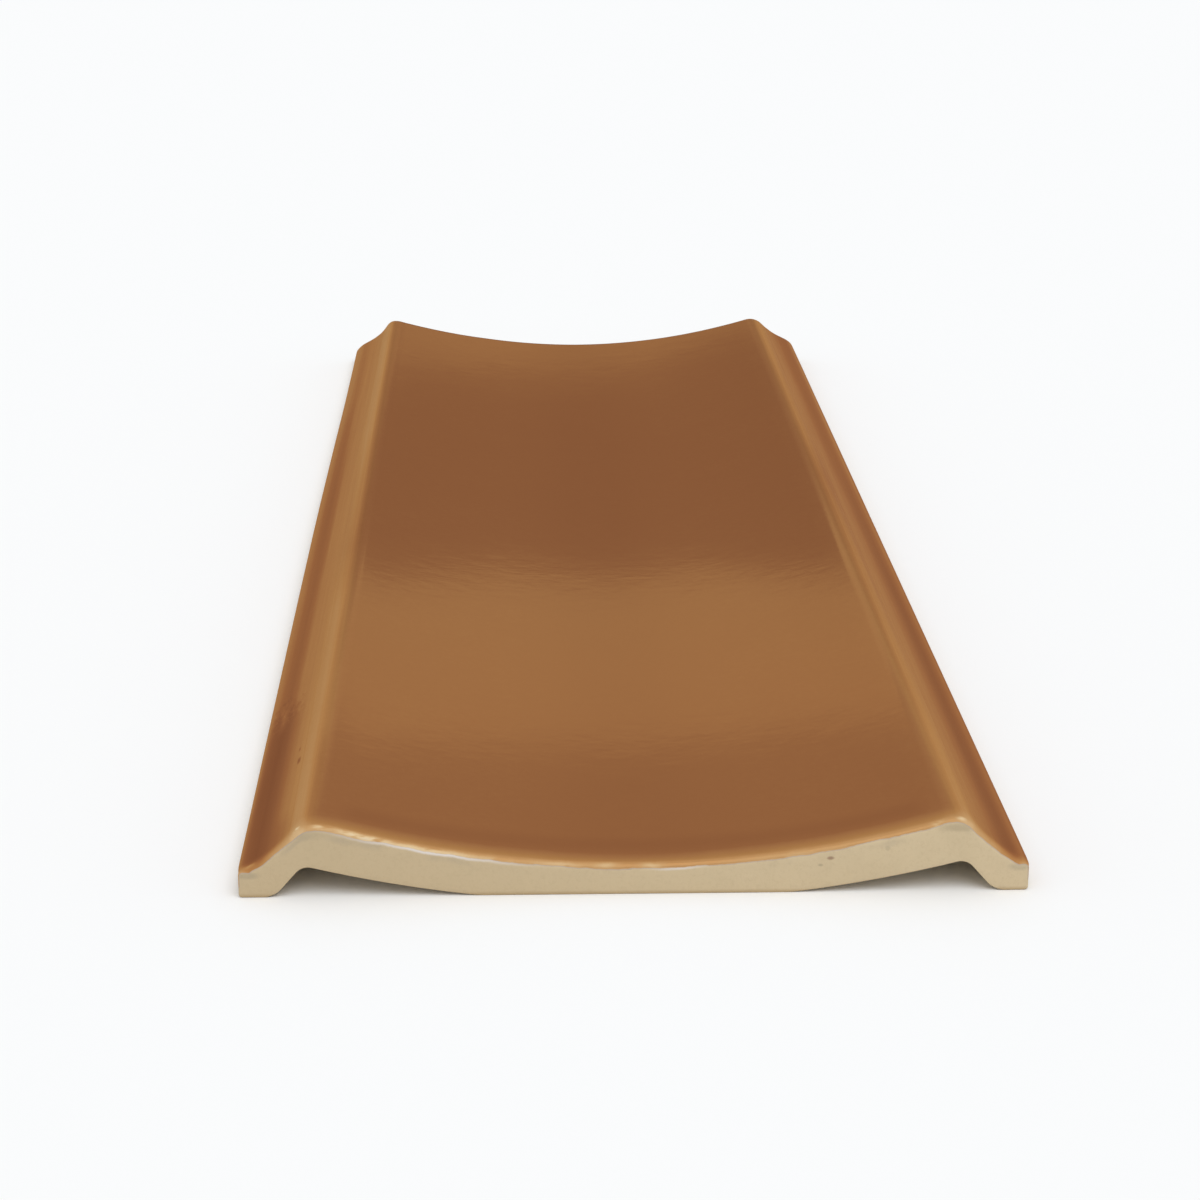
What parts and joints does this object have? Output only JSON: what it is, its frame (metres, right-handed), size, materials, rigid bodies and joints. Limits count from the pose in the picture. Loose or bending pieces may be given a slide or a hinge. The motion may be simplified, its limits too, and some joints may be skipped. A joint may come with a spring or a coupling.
{
  "type": "glazed ceramic tile",
  "caption": "Long glazed ceramic tile with a shallow concave panel between raised ridges along both sides, bare clay ends and a flat bed underneath.",
  "frame": {"origin": "middle of the plane that the tile lies on, below the middle of its outline", "axes": "+Z out of the glazed face, +Y along the length, with the end seen in front facing -Y"},
  "size_m": [0.15, 0.45, 0.0146],
  "materials": {
    "glazed_clay": "gloss"
  },
  "bodies": {
    "root": {"concave_tile": "glazed_clay"}
  },
  "joints": []
}
